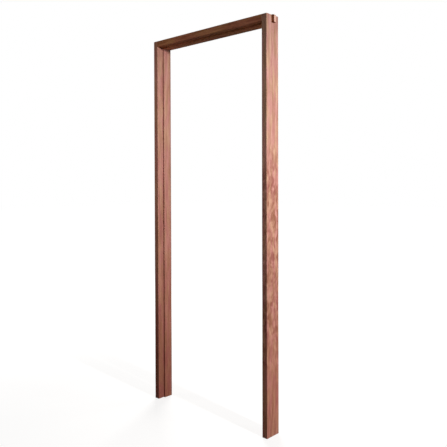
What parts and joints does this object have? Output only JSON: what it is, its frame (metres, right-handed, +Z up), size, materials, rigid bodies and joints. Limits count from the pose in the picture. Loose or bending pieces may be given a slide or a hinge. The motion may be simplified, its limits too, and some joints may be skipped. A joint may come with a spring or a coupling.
{
  "type": "wooden door frame",
  "caption": "Rebated hardwood door frame: two square-cut jambs joined by a head whose tongues pass through open slots in the jambs' tops, locked by dowels.",
  "frame": {"origin": "on the floor, midway between the jambs' outer faces and midway through the frame's depth", "axes": "+Z up along the jambs; +X along the head, from the left jamb to the right one; -Y the front, the side that the rebate and the leaf are on"},
  "size_m": [0.858, 0.094, 2.072],
  "materials": {
    "frame_wood": "planed and sanded reddish hardwood, clear satin",
    "dowel_wood": "turned pale hardwood, cut flush"
  },
  "bodies": {
    "root": {"jamb_left": "frame_wood", "jamb_right": "frame_wood", "head": "frame_wood", "dowel_left_lower": "dowel_wood", "dowel_left_upper": "dowel_wood", "dowel_right_lower": "dowel_wood", "dowel_right_upper": "dowel_wood"}
  },
  "joints": []
}
